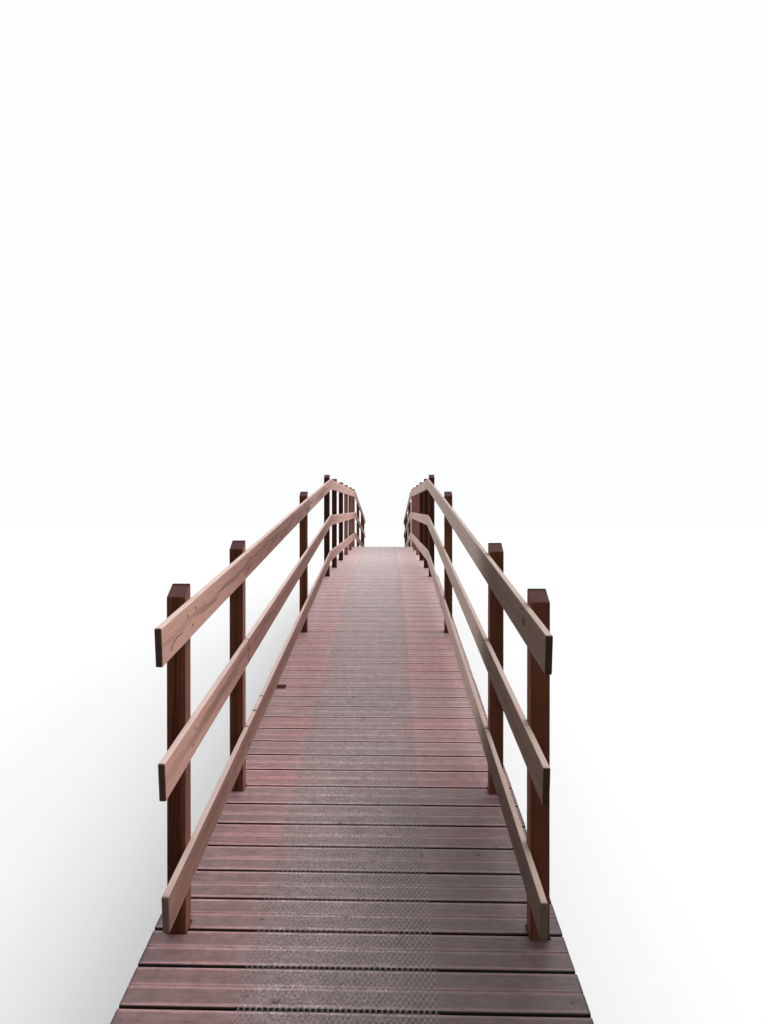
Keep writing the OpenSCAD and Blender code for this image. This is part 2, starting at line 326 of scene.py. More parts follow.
def deck_wear_and_painted_light(f, colour, height, wood):
    """Wear along the walking line, on the mouldings and along the bridge, and painted light and shade."""
    x, y, _ = f.split(wood.place)
    off_middle = f.math("ABSOLUTE", y)
    colour = f.mix(f.step(wood.tone, 0.55, 0.95, 0.0, 0.45), colour, RUDDY_BOARD)
    # Painted sheen: the middle boards are painted paler, partly bleaching and partly the sheen of grazing
    # light.
    colour = f.mix(f.step(off_middle, 0.6, 6.2, 0.86, 0.0), colour, BLEACHED_AND_SHEEN_BOARD)

    fray = f.noise(wood.place, scale=6.0, detail=4, roughness=0.7)
    off_line = f.math("ABSOLUTE", f.math("SUBTRACT", x, (NETTING_LEFT + NETTING_RIGHT) / 2))
    off_line = f.math("MULTIPLY_ADD", f.math("SUBTRACT", fray, 0.5), 0.20, off_line)
    half = (NETTING_RIGHT - NETTING_LEFT) / 2
    line = f.step(off_line, half - 0.10, half + 0.06, 1.0, 0.0)
    gritty = f.add("ShaderNodeHueSaturation", {"Color": colour, "Saturation": 0.62, "Value": 1.13})
    colour = f.mix(line, colour, gritty)

    over_width = f.math("ABSOLUTE", wood.over_width)
    # Painted highlight: the groove and the eased edges are painted paler, partly worn stain and partly
    # highlight.
    groove = f.step(over_width, 0.08, 0.19, 0.75, 0.0)
    arris = f.times(f.step(over_width, 0.78, 0.88), f.step(over_width, 0.945, 0.975, 0.85, 0.0))
    value = f.math("ADD", f.math("MAXIMUM", groove, arris), 1.0)
    # Painted shade: both ends of the deck are painted darker.
    value = f.times(value, f.step(off_middle, 7.0, 8.7, 1.0, 0.70))
    dull = f.times(f.step(off_middle, 0.3, 1.4, 0.06, 0.20), f.step(off_middle, 2.5, 3.0, 1.0, 0.0))
    value = f.times(value, f.math("SUBTRACT", 1.0, dull))
    # Painted shadow: near the ends the right side of the deck is painted darker, shadow with some damp.
    to_right = f.step(f.math("MULTIPLY_ADD", fray, 0.25, x), -0.10, 0.45)
    painted_shadow = f.times(f.step(off_middle, 6.7, 7.8), to_right)
    value = f.times(value, f.math("MULTIPLY_ADD", painted_shadow, -0.62, 1.0))
    dust = f.noise(f.vector("MULTIPLY", wood.place, (0.6, 1.0, 1.0)), scale=42.0, detail=6, roughness=0.75)
    value = f.times(value, f.step(dust, 0.30, 0.70, 0.80, 1.20))
    crumbs = f.noise(wood.place, scale=140.0, detail=3, roughness=0.7)
    speck = f.step(crumbs, 0.38, 0.64)
    grit = f.times(line, f.math("SUBTRACT", speck, 0.5))
    value = f.times(value, f.math("MULTIPLY_ADD", grit, 0.75, 1.0))
    colour = f.brighten(colour, value)

    blots = f.step(f.noise(wood.place, scale=15.0, detail=6, roughness=0.75), 0.52, 0.72)
    dirty = f.times(blots, f.math("MULTIPLY_ADD", line, 0.30, 0.10), f.step(off_middle, 4.0, 7.5))
    colour = f.mix(dirty, colour, DIRT)
    # Painted shade: the sides of the boards in the gaps are painted nearly black, partly dirt and partly
    # shade.
    in_gap = f.times(f.step(over_width, 0.955, 0.985), f.step(off_middle, 8.72, 8.78, 1.0, 0.0))
    colour = f.mix(in_gap, colour, GAP_DIRT_AND_SHADE)
    return colour, f.math("MULTIPLY_ADD", f.times(speck, line), 0.9, height)


# %% [markdown]
# A few marks on the rails have places of their own: a large knot, small dark knots and a check, which is a
# crack that curves away from the end of one rail. Painting them would need an image, so each is worked out
# from its centre and its size instead.
# %% Marks with places of their own
KNOT_BROWN = (0.060, 0.026, 0.019)
LARGE_KNOT = ((0.5225, -8.230, 1.553), (0.03, 0.030, 0.016))
SMALL_KNOTS = (
    ((-0.5225, -8.278, 1.577), (0.02, 0.009, 0.006)),
    ((-0.533, -6.993, 0.981), (0.02, 0.010, 0.02)),
    ((-0.533, -7.172, 0.960), (0.02, 0.012, 0.02)),
)
CHECK_CENTRE = (-0.5225, -8.340, 1.500)
CHECK_REACH = (9.0, 0.104, 0.035)


def soft_spot(f, place, centre, size):
    """A soft oval spot at one place on the bridge."""
    off = f.vector("DIVIDE", f.vector("SUBTRACT", place, centre), size)
    return f.step(f.vector("LENGTH", off, out="Value"), 0.55, 1.0, 1.0, 0.0)


def rail_marks(f, place):
    x, y, z = f.split(place)
    spots = soft_spot(f, place, *LARGE_KNOT)
    for centre, size in SMALL_KNOTS:
        spots = f.math("MAXIMUM", spots, soft_spot(f, place, centre, size))
    curve = f.vector("DIVIDE", f.vector("SUBTRACT", place, CHECK_CENTRE), CHECK_REACH)
    check = f.math("ABSOLUTE", f.math("SUBTRACT", f.vector("LENGTH", curve, out="Value"), 1.0))
    check = f.step(check, 0.02, 0.07, 1.0, 0.0)
    check = f.times(check, f.step(y, -8.34, -8.32, 1.0, 0.0), f.step(z, 1.500, 1.506))
    check = f.times(check, f.step(x, -0.45, -0.40, 1.0, 0.0))
    return f.math("MAXIMUM", spots, check)


# %% [markdown]
# A rail is a flat-sawn board, and a ragged band of darker heartwood wanders along its middle. The side
# faces are painted darker than the tops as painted shade. The rails are paler at the ends, and over the
# level run they are painted paler, partly bleaching and partly painted light. A top rail is paler beyond the
# post where its two lengths butt. The right-hand ones are greyer, their inner faces are painted nearly white
# as painted light, and near the ends of the bridge they carry a painted shadow. The normal times the sign of
# the place tells the faces apart: it is negative where a face looks back towards the middle.
# %% The rails' own wear and painted light
TOP_RAIL_BUTT = abs(sum(corner.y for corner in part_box("near_upper_posts")) / 2)
BLACK = (0, 0, 0)
NEWER_RAIL = (0.62, 0.42, 0.34)
PALER_RAIL_END = (0.70, 0.395, 0.315)
BLEACHED_AND_LIT_LEVEL_RAIL = (0.86, 0.540, 0.455)
HEARTWOOD = (0.165, 0.078, 0.062)
DULL_LOW_RAIL = (0.20, 0.135, 0.105)
GREY_RIGHT_RAIL = (0.34, 0.265, 0.205)
LIT_RIGHT_INNER_RAIL = (0.95, 0.80, 0.70)
SHADOWED_RAIL = (0.08, 0.058, 0.040)
LOW_RAIL_CUT = (0.19, 0.150, 0.105)
RAIL_CUT = (0.045, 0.022, 0.015)


def facing_from_middle(f, place):
    """The normal, with X and Y counted away from the middle: below 0 a face looks back to it."""
    return f.vector("MULTIPLY", f.add("ShaderNodeNewGeometry", out="Normal"), f.vector("SIGN", place))


def height_over_deck(f, off_middle, z):
    """How far a place stands over the deck, which falls away beyond the brows."""
    fallen = f.math("MAXIMUM", f.math("ADD", off_middle, BROW_Y), 0.0)
    return f.math("ADD", f.math("SUBTRACT", z, DECK_TOP), f.math("MULTIPLY", fallen, math.tan(SLOPE)))


def heartwood_band(f, wood):
    """A ragged band along the middle of a board's width."""
    wander = f.math("MULTIPLY_ADD", f.math("SUBTRACT", wood.patch, 0.5), 2.6, wood.over_width)
    ragged = f.math("MULTIPLY_ADD", f.math("SUBTRACT", wood.streak, 0.5), 1.2, f.math("ABSOLUTE", wander))
    ragged = f.math("MULTIPLY_ADD", f.math("SUBTRACT", wood.tatter, 0.5), 1.4, ragged)
    return f.step(ragged, 0.02, 0.40, 0.62, 0.0)


def rail_wear_and_painted_light(f, colour, height, wood):
    """Bleaching, heartwood and painted light and shade along the rails, with the marks of single rails on
    top.
    """
    x, y, z = f.split(wood.place)
    off_middle = f.math("ABSOLUTE", y)
    over_deck = height_over_deck(f, off_middle, z)
    outward, _, upward = f.split(facing_from_middle(f, wood.place))
    on_face = f.step(upward, 0.3, 0.8, 1.0, 0.0)
    inner = f.step(outward, -0.8, -0.5, 1.0, 0.0)
    low = f.step(over_deck, 0.30, 0.50, 1.0, 0.0)
    not_low = f.math("SUBTRACT", 1.0, low)
    bare_and_lit = f.step(wood.fibre, 0.2, 0.7, 0.55, 0.95)

    # Painted shade: the side faces of the rails are painted darker than the tops, less near the ends.
    painted_face_shade = f.times(on_face, f.step(off_middle, 6.6, 7.4, 0.27, 0.08))
    colour = f.mix(painted_face_shade, colour, BLACK)
    newer = f.step(off_middle, TOP_RAIL_BUTT - 0.004, TOP_RAIL_BUTT + 0.004, 0.40, 0.0)
    newer = f.math("ADD", newer, f.step(off_middle, TOP_RAIL_BUTT, TOP_RAIL_BUTT + 0.9, 0.16, 0.0))
    newer = f.times(newer, f.step(over_deck, 0.85, 0.95), on_face)
    colour = f.mix(newer, colour, NEWER_RAIL)
    # The faces of the upper rails are paler near the ends of the bridge.
    paler_end = f.times(f.step(off_middle, 7.2, 8.3), not_low, on_face, bare_and_lit)
    colour = f.mix(paler_end, colour, PALER_RAIL_END)
    # Painted light: over the level run the rails are painted paler, partly bleaching and partly light.
    bleach_and_light_middle = f.times(f.step(off_middle, 0.6, 4.4, 0.95, 0.0), on_face, bare_and_lit)
    colour = f.mix(bleach_and_light_middle, colour, BLEACHED_AND_LIT_LEVEL_RAIL)

    heart = f.times(heartwood_band(f, wood), f.step(off_middle, 2.7, 3.6, 0.4, 1.0))
    heart = f.times(heart, f.step(off_middle, 7.9, 8.4, 1.0, 0.4))
    colour = f.mix(heart, colour, HEARTWOOD)
    colour = f.mix(f.times(low, 0.22), colour, DULL_LOW_RAIL)
    right = f.step(x, 0.45, 0.50)
    colour = f.mix(f.times(right, 0.45), colour, GREY_RIGHT_RAIL)
    # Painted light: the inner faces of the right-hand rails are painted nearly white, as lit as the left
    # ones.
    right_inner_light = f.times(f.step(off_middle, 2.5, 4.5, 0.97, 0.80), f.step(off_middle, 6.9, 7.6, 1.0, 0.0))
    colour = f.mix(f.times(right, inner, right_inner_light), colour, LIT_RIGHT_INNER_RAIL)
    # Painted shadow: near the ends of the bridge the right-hand rails are painted dark.
    painted_shadow = f.step(off_middle, 6.9, 7.6, 0.0, 0.6)
    colour = f.mix(f.times(right, on_face, painted_shadow), colour, SHADOWED_RAIL)
    at_end = f.step(wood.to_end, 0.0005, 0.004, 1.0, 0.0)
    colour = f.mix(f.times(at_end, low, 0.8), colour, LOW_RAIL_CUT)
    colour = f.mix(f.times(at_end, not_low, 0.9), colour, RAIL_CUT)

    marks = rail_marks(f, wood.place)
    colour = f.mix(f.times(marks, 0.85), colour, KNOT_BROWN)
    return colour, f.math("MULTIPLY_ADD", marks, -1.5, height)


# %% [markdown]
# The posts' faces that look inwards or towards the middle of the bridge are painted paler, partly bleaching
# and partly painted light. On the level run and near the brows the faces that look to the ends are painted
# darkest as painted shade. With that, every kind of timber has its finish: the rails are pale and pink, the
# posts a deep brown, the boards in between, and the beams under the deck a dull brown.
# %% The posts' own wear and painted light, and the four timbers
BLEACHED_AND_LIT_POST = (0.460, 0.240, 0.205)
SHADED_POST = (0.022, 0.010, 0.007)


def post_wear_and_painted_light(f, colour, height, wood):
    """Paler faces inwards and to the middle, bleaching and painted light; darker faces to the ends, painted
    shade.
    """
    off_middle = f.math("ABSOLUTE", f.split(wood.place)[1])
    outward, to_ends, _ = f.split(facing_from_middle(f, wood.place))
    # Painted light: the inner faces and the faces towards the middle are painted paler, partly bleaching and
    # partly light.
    inner = f.times(f.step(outward, -0.8, -0.5, 1.0, 0.0), f.step(off_middle, 6.5, 8.2, 0.70, 0.28))
    middle = f.times(f.step(to_ends, -0.8, -0.5, 1.0, 0.0), f.step(off_middle, 3.0, 5.0, 0.75, 0.0))
    # Painted shade: on the level run and near the brows the faces that look to the ends are painted dark.
    shaded = f.times(f.step(to_ends, 0.5, 0.8), f.step(off_middle, 3.0, 4.3, 0.65, 0.0))
    colour = f.mix(shaded, colour, SHADED_POST)
    bare_and_lit = f.times(f.math("MAXIMUM", inner, middle), f.step(wood.fibre, 0.2, 0.7, 0.7, 1.0))
    return f.mix(bare_and_lit, colour, BLEACHED_AND_LIT_POST), height


RAIL = timber("rail_timber", (0.49, 0.250, 0.200), (0.38, 0.180, 0.144), (0.190, 0.083, 0.064),
              (0.74, 0.56, 0.50), rings=0.16, streaks=0.35, bleach=0.95, arris=0.6, grime=0.15, gloss=0.25,
              extra=rail_wear_and_painted_light)
POST = timber("post_timber", (0.235, 0.083, 0.042), (0.160, 0.051, 0.025), (0.048, 0.017, 0.009),
              (0.115, 0.066, 0.074), rings=0.4, streaks=0.6, bleach=0.8, arris=0.2, grime=0.3, gloss=0.06,
              extra=post_wear_and_painted_light)
DECK = timber("deck_timber", (0.315, 0.168, 0.164), (0.245, 0.120, 0.117), (0.120, 0.056, 0.054),
              (0.42, 0.285, 0.280), rings=0.12, streaks=0.30, bleach=0.25, arris=0.0, grime=0.20, rough=0.5,
              extra=deck_wear_and_painted_light)
BEAM = timber("beam_timber", (0.24, 0.155, 0.118), (0.16, 0.098, 0.075), (0.060, 0.035, 0.026),
              (0.30, 0.26, 0.23), rings=0.4, streaks=0.5, bleach=0.4, arris=0.4, grime=0.5)
print("timber finishes:", RAIL.name, POST.name, DECK.name, BEAM.name)

# %% [markdown]
# The fixings are galvanised steel that has gone dull. Rust breaks through in patches, where the metal turns
# rough and brown. A noise on the piece's own coordinates mixes the two. The netting is more dust than
# metal, and it is painted paler towards the middle of the bridge as the boards under it are, partly dust
# and partly painted sheen.
# %% Steel finish
GRIME_ON_STEEL = (0.05, 0.04, 0.035)
STEEL_RELIEF = 0.0003


def dull_steel(name, zinc, rust, rusted, rough, metal, dust_and_sheen=None):
    """Galvanised steel with rust patches. The higher rusted is, the more of the surface has turned."""
    f = Finish(bpy.data.materials.new(name))
    place = f.add("ShaderNodeTexCoord", out="Object")
    patch = f.noise(place, scale=38.0, detail=5, roughness=0.7)
    fine = f.noise(place, scale=420.0, detail=2)
    turned = f.step(patch, 0.66 - 0.3 * rusted, 0.76 - 0.3 * rusted)
    colour = f.mix(turned, zinc, rust)
    if dust_and_sheen:
        off_middle = f.math("ABSOLUTE", f.split(place)[1])
        # Painted sheen: the netting is painted paler towards the middle, partly dust and partly sheen.
        colour = f.mix(f.step(off_middle, 1.6, 7.4, 0.9, 0.0), colour, dust_and_sheen)
    colour = f.mix(f.times(fine, 0.3), colour, GRIME_ON_STEEL)
    bright = f.math("MULTIPLY_ADD", turned, -0.9 * metal, metal)
    roughness = f.math("MULTIPLY_ADD", turned, 0.3, rough)
    return f.shade(colour, roughness, fine, STEEL_RELIEF, **{"Metallic": bright})


FIXING = dull_steel("fixing_steel", (0.26, 0.245, 0.23), (0.09, 0.045, 0.025), rusted=0.5, rough=0.5,
                    metal=0.8)
NETTING = dull_steel("netting_steel", (0.50, 0.405, 0.390), (0.36, 0.255, 0.230), rusted=0.35, rough=0.6,
                     metal=0.15, dust_and_sheen=(0.86, 0.725, 0.730))
print("steel finishes:", FIXING.name, NETTING.name)

# %% [markdown]
# Rails, posts and beams are straight timbers with four long sides, and the frame already has their true
# ends: square, plumb, sloping or seated. So each timber starts as a copy of the frame's solid. A node may
# hold several solids, all in loose triangles: the copy is merged, the corners that hang together are
# gathered one solid at a time, and the triangles of each flat face are dissolved into one face.
# %% Solids of the frame


def solids_of(node):
    """The separate solids of a node, each a bmesh with whole faces."""
    whole = bmesh.new()
    whole.from_mesh(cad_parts[node].data)
    bmesh.ops.remove_doubles(whole, verts=whole.verts, dist=1e-5)
    left = set(whole.verts)
    solids = []
    while left:
        gathered, waiting = set(), [next(iter(left))]
        while waiting:
            v = waiting.pop()
            if v not in gathered:
                gathered.add(v)
                waiting += [e.other_vert(v) for e in v.link_edges]
        left -= gathered
        solids.append(sorted(v.index for v in gathered))
    solids.sort()
    parts = []
    for solid in solids:
        part = whole.copy()
        part.verts.ensure_lookup_table()
        kept = set(solid)
        others = [v for v in part.verts if v.index not in kept]
        bmesh.ops.delete(part, geom=others, context="VERTS")
        bmesh.ops.dissolve_limit(part, angle_limit=math.radians(0.5), verts=part.verts, edges=part.edges)
        parts.append(part)
    whole.free()
    return parts


def lying_frame(part):
    """A frame with X along the timber, Y over its width and Z through it, and half of its size along each."""
    longest = max(part.edges, key=lambda e: e.calc_length())
    along = (longest.verts[1].co - longest.verts[0].co).normalized()
    if along[max(range(3), key=lambda i: abs(along[i]))] < 0:
        along = -along
    sides = [face.normal.copy() for face in part.faces if abs(face.normal.dot(along)) < 0.01]

    def width(direction):
        reach = [v.co.dot(direction) for v in part.verts]
        return max(reach) - min(reach), (max(reach) + min(reach)) / 2

    through = min(sides, key=lambda n: round(width(n)[0], 4))
    across = through.cross(along)
    axes = (along, across, through)
    middle = sum((axis * width(axis)[1] for axis in axes), Vector())
    turn = Matrix(axes).transposed().to_4x4()
    return Matrix.Translation(middle) @ turn, Vector([width(axis)[0] / 2 for axis in axes])


# %% [markdown]
# The grain must lie along each timber whichever way the timber points, so it is written on the corners
# while the timber lies along X about the origin. Three attributes hold it, as the finishes expect. A random
# place in an endless log gives each timber a figure of its own, and more corners along it let the timber
# bow later.
# %% Grain for a timber
LOG_LENGTH = 20
LOG_ACROSS = 0.03
LOG_THROUGH = 0.02


def add_layers(bm):
    """Adds the three attributes that the timber finishes read."""
    bm.verts.layers.float_vector.new("grain")
    bm.verts.layers.float_vector.new("section")
    bm.verts.layers.float.new("tone")
    return bm


def even_places(half, parts):
    """Where a length about the origin is cut into this many equal parts."""
    return [half * (2 * i / parts - 1) for i in range(1, parts)]


def slice_along(bm, positions):
    """Adds cuts square to X at these places, so that the timber can bend there."""
    for x in positions:
        geometry = bm.verts[:] + bm.edges[:] + bm.faces[:]
        bmesh.ops.bisect_plane(bm, geom=geometry, plane_co=(x, 0, 0), plane_no=(1, 0, 0))


def random_log():
    """The tone of a timber and where in an endless log it was cut."""
    tone = chance.random()
    along = chance.uniform(0, LOG_LENGTH)
    across = chance.uniform(-LOG_ACROSS, LOG_ACROSS)
    through = chance.uniform(-LOG_THROUGH, LOG_THROUGH)
    return tone, Vector((along, across, through))


def store_grain(bm, half, verts=None, local=None):
    """Writes grain, section and tone for a timber along X about the origin, or along X of the frame local."""
    grain = bm.verts.layers.float_vector["grain"]
    section = bm.verts.layers.float_vector["section"]
    tones = bm.verts.layers.float["tone"]
    tone, shift = random_log()
    for v in verts or bm.verts:
        at = local @ v.co if local else v.co
        v[grain] = at + shift
        v[section] = (half.x - abs(at.x), at.y / half.y, at.z / half.z)
        v[tones] = tone


# %% [markdown]
# A real timber has eased edges and is never quite straight. The solid is laid along X, its edges are
# bevelled, and the cuts across it take a slight bow. The grain is stored there, before the bow, and then
# the timber is put back in its place. All the timbers of a node are poured into one mesh, which becomes the
# piece.
# %% Dressing a timber
CUT_SPACING = 0.35


def dress(part, edge, bow):
    """Eases a timber's edges by this much, bows it by up to this much and gives it grain."""
    place, half = lying_frame(part)
    bmesh.ops.transform(part, matrix=place.inverted(), verts=part.verts)
    bmesh.ops.bevel(part, geom=part.edges[:], offset=edge, offset_type="OFFSET", segments=2, profile=0.5,
                    affect="EDGES", material=-1, clamp_overlap=True)
    slice_along(part, even_places(half.x, max(2, round(2 * half.x / CUT_SPACING))))
    add_layers(part)
    store_grain(part, half)
    turn = chance.uniform(0, math.tau)
    for v in part.verts:
        t = v.co.x / half.x
        v.co.z -= bow * abs(math.sin(math.pi * t + turn)) * (1 - t * t)
    bmesh.ops.transform(part, matrix=place, verts=part.verts)
    return part


def pour(target, source):
    """Adds one finished shape to the mesh of its piece."""
    mesh = bpy.data.meshes.new("shape")
    source.to_mesh(mesh)
    source.free()
    target.from_mesh(mesh)
    bpy.data.meshes.remove(mesh)


def finish_piece(name, bm, material, slot, *nodes):
    """Makes an object of a bmesh. It rides with the bridge and stands for these nodes of the frame."""
    bmesh.ops.recalc_face_normals(bm, faces=bm.faces)
    mesh = bpy.data.meshes.new(name)
    bm.to_mesh(mesh)
    bm.free()
    mesh.materials.append(material)
    piece = bpy.data.objects.new(name, mesh)
    bpy.context.scene.collection.objects.link(piece)
    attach(piece, "root")
    if nodes:
        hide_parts(*nodes)
    return piece


# %% [markdown]
# Posts, rails and beams differ only in finish and in how much their edges are eased. The rails are the
# thinnest, so they bow the most.
# %% Posts, rails and beams


def dress_nodes(names, material, slot, edge, bow):
    """Makes one dressed piece for each of these nodes."""
    for node in names:
        bm = add_layers(bmesh.new())
        for part in solids_of(node):
            pour(bm, dress(part, edge, bow))
        finish_piece(node + "_timber", bm, material, slot, node)
    print(len(names), "nodes dressed as", material.name)


POST_NODES = sorted(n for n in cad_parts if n.endswith("_posts"))
RAIL_NODES = sorted(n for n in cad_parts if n.endswith("_rail"))
PILE_NODES = sorted(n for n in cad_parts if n.endswith("_piles"))
BEAM_NODES = sorted(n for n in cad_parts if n.endswith(("_stringers", "_bearers", "_sill")))
dress_nodes(POST_NODES, POST, "posts", edge=0.003, bow=0.0004)
dress_nodes(PILE_NODES, POST, "posts", edge=0.003, bow=0.0)
dress_nodes(RAIL_NODES, RAIL, "rails", edge=0.0035, bow=0.0008)
dress_nodes(BEAM_NODES, BEAM, "beams", edge=0.003, bow=0.0005)

# %% [markdown]
# A deck board is a moulding, alike along its whole length. So one perfect board is made from a cube, with
# two edges bevelled and a groove pressed between cuts, and every board of the deck is a copy of it. Small
# random differences in length, place and cup keep the row from looking printed.
# %% Deck boards
EDGE_RADIUS = 0.006
GROOVE_HALF = 0.005
GROOVE_DEEP = 0.002
BOARD_PARTS = 8
MOST_CUP = 0.0010
MOST_WARP = 0.0008
MOST_TRIM = 0.004
MOST_TURN = 0.0008
MOST_SHIFT = 0.0007


def board_blank():
    """One perfect board about the origin, along X, with eased upper edges and a groove along its middle."""
    bm = bmesh.new()
    bmesh.ops.create_cube(bm, size=1.0)
    bmesh.ops.scale(bm, vec=(2 * DECK_HALF, BOARD_WIDTH, BOARD_THICK), verts=bm.verts)
    long_edges = [e for e in bm.edges if abs(e.verts[0].co.x - e.verts[1].co.x) > DECK_HALF]
    upper = [e for e in long_edges if all(v.co.z > 0 for v in e.verts)]
    bmesh.ops.bevel(bm, geom=upper, offset=EDGE_RADIUS, offset_type="OFFSET", segments=4, profile=0.5,
                    affect="EDGES", material=-1)
    for y in (-GROOVE_HALF, -GROOVE_HALF / 3, GROOVE_HALF / 3, GROOVE_HALF):
        geometry = bm.verts[:] + bm.edges[:] + bm.faces[:]
        bmesh.ops.bisect_plane(bm, geom=geometry, plane_co=(0, y, 0), plane_no=(0, 1, 0))
    for v in bm.verts:
        if v.co.z > 0 and abs(v.co.y) < GROOVE_HALF / 2:
            v.co.z -= GROOVE_DEEP
    slice_along(bm, even_places(DECK_HALF, BOARD_PARTS))
    return bm


blank = board_blank()
print("a board has", len(blank.faces), "faces")


def deck_board(start):
    """A board in its run's frame, with its near edge at Y start and its face at Z 0."""
    bm = blank.copy()
    cup = chance.uniform(0, MOST_CUP)
    warp = chance.uniform(0, MOST_WARP)
    trim = [1 - chance.uniform(0, MOST_TRIM), 1 - chance.uniform(0, MOST_TRIM)]
    for v in bm.verts:
        v.co.z -= cup * (1 - (2 * v.co.y / BOARD_WIDTH) ** 2) + warp * math.sin(4 * v.co.x + 7 * start) ** 2
        v.co.x *= trim[v.co.x > 0]
    turn = Matrix.Rotation(chance.uniform(-MOST_TURN, MOST_TURN), 4, "Z")
    middle = start + BOARD_WIDTH / 2 + chance.uniform(-MOST_SHIFT, MOST_SHIFT)
    shift = Matrix.Translation((0, middle, -BOARD_THICK / 2))
    bmesh.ops.transform(bm, matrix=shift @ turn, verts=bm.verts)
    return bm


# %% [markdown]
# Where a board meets a post it is notched, and one notch on each ramp stands empty because its post is
# gone. A Boolean cuts all the notches of a run at once: square, plumb holes with a few millimetres of air
# round the post. The brow posts stand where two runs meet, so they are cut out of both.
# %% Notches
NOTCH_AIR = 0.004
NOTCH_SIZE = POST_SIZE + 2 * NOTCH_AIR
NOTCH_DEPTH = 0.12
BOARDS_TO_EMPTY_NOTCH = 22
EMPTY_NOTCH_Y = BROW_Y - BOARDS_TO_EMPTY_NOTCH * BOARD_PITCH * math.cos(SLOPE)
PAST_BROW = 0.1
STATIONS = sorted(sum(corner.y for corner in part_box(node)) / 2 for node in POST_NODES)
REACH = {
    "near": (-math.inf, BROW_Y + PAST_BROW),
    "level": (BROW_Y - PAST_BROW, -BROW_Y + PAST_BROW),
    "far": (-BROW_Y - PAST_BROW, math.inf),
}
EMPTY_NOTCHES = {"near": [(-POST_X, EMPTY_NOTCH_Y)], "level": [], "far": [(-POST_X, -EMPTY_NOTCH_Y)]}
print(len(STATIONS), "pairs of posts, empty notches", round(-EMPTY_NOTCH_Y, 3), "m from the middle")


def notch_places(run):
    """Where the posts stand in a run, and where its empty notch is."""
    low, high = REACH[run]
    return [(side * POST_X, y) for y in STATIONS if low < y < high for side in (-1, 1)] + EMPTY_NOTCHES[run]


def settle(piece):
    """Applies a piece's modifiers to its mesh."""
    evaluated = piece.evaluated_get(bpy.context.evaluated_depsgraph_get())
    solid = bpy.data.meshes.new_from_object(evaluated)
    piece.modifiers.clear()
    old = piece.data
    piece.data = solid
    bpy.data.meshes.remove(old)


def cut_notches(piece, places):
    """Cuts a square, plumb hole through the deck at each of these places."""
    cutter_bm = bmesh.new()
    size = Matrix.Diagonal((NOTCH_SIZE, NOTCH_SIZE, NOTCH_DEPTH, 1))
    for x, y in places:
        at = Matrix.Translation((x, y, deck_height(y)))
        bmesh.ops.create_cube(cutter_bm, size=1.0, matrix=at @ size)
    cutter_mesh = bpy.data.meshes.new("notches")
    cutter_bm.to_mesh(cutter_mesh)
    cutter_bm.free()
    cutter = bpy.data.objects.new("notches", cutter_mesh)
    bpy.context.scene.collection.objects.link(cutter)
    boolean = piece.modifiers.new("notches", "BOOLEAN")
    boolean.operation = "DIFFERENCE"
    boolean.solver = "EXACT"
    boolean.object = cutter
    settle(piece)
    bpy.data.objects.remove(cutter)
    bpy.data.meshes.remove(cutter_mesh)


# %% [markdown]
# Each run of the deck is one piece: its boards are laid flat in a row, the row is tilted with its run, and
# then the plumb notches are cut. The grain is stored last, because a Boolean gives its new corners no
# coordinates of their own. A corner belongs to the board whose middle is nearest.
# %% Laying the deck


def grain_boards(piece, run):
    """Gives every board of a run its own piece of log, from the places of its corners in the run's frame."""
    bm = bmesh.new()
    bm.from_mesh(piece.data)
    add_layers(bm)
    flat = RUN_FRAME[run].inverted()
    corners = {}
    for v in bm.verts:
        y = (flat @ v.co).y
        start = min(BOARD_STARTS[run], key=lambda s: abs(s + BOARD_WIDTH / 2 - y))
        corners.setdefault(start, []).append(v)
    half = Vector((DECK_HALF, BOARD_WIDTH / 2, BOARD_THICK / 2))
    for start, verts in sorted(corners.items()):
        middle = Matrix.Translation((0, -start - BOARD_WIDTH / 2, BOARD_THICK / 2))
        store_grain(bm, half, verts, middle @ flat)
    bm.to_mesh(piece.data)
    bm.free()


for run, starts in BOARD_STARTS.items():
    deck_bm = bmesh.new()
    for start in starts:
        pour(deck_bm, deck_board(start))
    bmesh.ops.transform(deck_bm, matrix=RUN_FRAME[run], verts=deck_bm.verts)
    deck = finish_piece(run + "_deck_boards", deck_bm, DECK, "deck_boards", BOARD_NODE[run])
    cut_notches(deck, notch_places(run))
    grain_boards(deck, run)
    print(deck.name, len(starts), "boards,", len(deck.data.polygons), "faces")
blank.free()

# %% [markdown]
# The netting is hexagonal wire netting. Wires run in pairs that are twisted together for a few millimetres
# and then part, so a cell is two twists and four slants. Two rows of that pattern repeat, so only they are
# made, from thin bars with a ridge on top. Eleven rows go to one board, with a row of twists over each gap,
# where they show as pale bars against the dark.
# %% A cell of the netting
CELL_WIDTH = 0.0165
ROWS_PER_BOARD = 11
ROW_PITCH = BOARD_PITCH / ROWS_PER_BOARD
TWIST_LENGTH = 0.005
WIRE = 0.0006
TWIST = 1.8 * WIRE
FLATTENED = 0.5


def wire_between(bm, a, b, radius):
    """A thin bar with a ridge on top from a to b."""
    a, b = Vector(a), Vector(b)
    run = b - a
    turn = run.to_track_quat("Z", "Y").to_matrix().to_4x4()
    place = Matrix.Translation((a + b) / 2) @ turn
    made = bmesh.ops.create_cone(bm, cap_ends=False, segments=3, radius1=radius, radius2=radius,
                                 depth=run.length, matrix=place)
    faces = {f for v in made["verts"] for f in v.link_faces}
    lowest = min(faces, key=lambda f: f.calc_center_median().z)
    bmesh.ops.delete(bm, geom=[lowest], context="FACES_ONLY")


